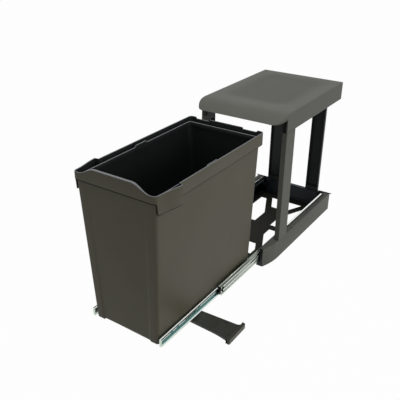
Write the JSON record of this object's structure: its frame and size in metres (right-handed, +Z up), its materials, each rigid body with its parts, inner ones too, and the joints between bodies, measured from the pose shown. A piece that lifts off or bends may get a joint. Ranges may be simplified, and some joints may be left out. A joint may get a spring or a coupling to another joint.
{
  "type": "pull-out cabinet waste bin unit",
  "caption": "Pull-out waste bin on ball slides, with a fixed lid on posts over a floor frame and a swinging arm that links it to the cabinet door.",
  "frame": {"origin": "on the cabinet floor, at the middle of the base frame's four floor screws", "axes": "+X to the right of the unit as seen from the front, +Y to the back of the cabinet, +Z up"},
  "size_m": [0.331, 0.834, 0.403],
  "materials": {
    "charcoal_plastic": "fine matte grain",
    "black_plastic": "satin moulded",
    "zinc_steel": "blue zinc plated",
    "stop_rubber": "dull"
  },
  "bodies": {
    "base": {"base_tray": "charcoal_plastic", "side_cover_left": "charcoal_plastic", "side_cover_right": "charcoal_plastic", "front_post_left": "charcoal_plastic", "front_post_right": "charcoal_plastic", "rear_post_left": "charcoal_plastic", "rear_post_right": "charcoal_plastic", "lid": "charcoal_plastic", "post_screws": "zinc_steel", "lid_screws": "zinc_steel", "outer_rail_left": "zinc_steel", "outer_rail_right": "zinc_steel", "rail_screws": "zinc_steel", "closing_stops": "stop_rubber"},
    "carriage": {"inner_rail_left": "zinc_steel", "inner_rail_right": "zinc_steel", "front_strap": "zinc_steel", "rear_strap": "zinc_steel", "arm_bracket": "zinc_steel", "strap_rivets": "zinc_steel", "bin": "charcoal_plastic", "arm_pin": "zinc_steel", "arm_washer": "black_plastic"},
    "arm": {"door_arm": "black_plastic"},
    "middle_left": {"middle_rail_left": "zinc_steel", "middle_stop_left": "black_plastic"},
    "outer_cage_left": {"outer_cage_left": "zinc_steel", "outer_balls_left": "zinc_steel"},
    "inner_cage_left": {"inner_cage_left": "zinc_steel", "inner_balls_left": "zinc_steel"},
    "middle_right": {"middle_rail_right": "zinc_steel", "middle_stop_right": "black_plastic"},
    "outer_cage_right": {"outer_cage_right": "zinc_steel", "outer_balls_right": "zinc_steel"},
    "inner_cage_right": {"inner_cage_right": "zinc_steel", "inner_balls_right": "zinc_steel"}
  },
  "joints": [
    {"name": "carriage_slide", "type": "slide", "parent": "base", "child": "carriage", "axis": [0, 1, 0], "range_m": [0, 0.412]},
    {"name": "middle_left_slide", "type": "slide", "parent": "base", "child": "middle_left", "axis": [0, 1, 0], "range_m": [0, 0.2061]},
    {"name": "outer_cage_left_slide", "type": "slide", "parent": "base", "child": "outer_cage_left", "axis": [0, 1, 0], "range_m": [0, 0.1031]},
    {"name": "inner_cage_left_slide", "type": "slide", "parent": "base", "child": "inner_cage_left", "axis": [0, 1, 0], "range_m": [0, 0.3091]},
    {"name": "middle_right_slide", "type": "slide", "parent": "base", "child": "middle_right", "axis": [0, 1, 0], "range_m": [0, 0.2061]},
    {"name": "outer_cage_right_slide", "type": "slide", "parent": "base", "child": "outer_cage_right", "axis": [0, 1, 0], "range_m": [0, 0.1031]},
    {"name": "inner_cage_right_slide", "type": "slide", "parent": "base", "child": "inner_cage_right", "axis": [0, 1, 0], "range_m": [0, 0.3091]},
    {"name": "arm_swing", "type": "hinge", "parent": "carriage", "child": "arm", "pos_m": [0.05, -0.481, 0.009], "axis": [0, 0, 1], "range_deg": [-135.1, 0]}
  ],
  "couplings": [
    {"joint": "middle_left_slide", "follows": "carriage_slide", "ratio": 0.5},
    {"joint": "outer_cage_left_slide", "follows": "carriage_slide", "ratio": 0.25},
    {"joint": "inner_cage_left_slide", "follows": "carriage_slide", "ratio": 0.75},
    {"joint": "middle_right_slide", "follows": "carriage_slide", "ratio": 0.5},
    {"joint": "outer_cage_right_slide", "follows": "carriage_slide", "ratio": 0.25},
    {"joint": "inner_cage_right_slide", "follows": "carriage_slide", "ratio": 0.75},
    {"joint": "arm_swing", "follows": "carriage_slide", "rad_per_m": -5.7189}
  ]
}
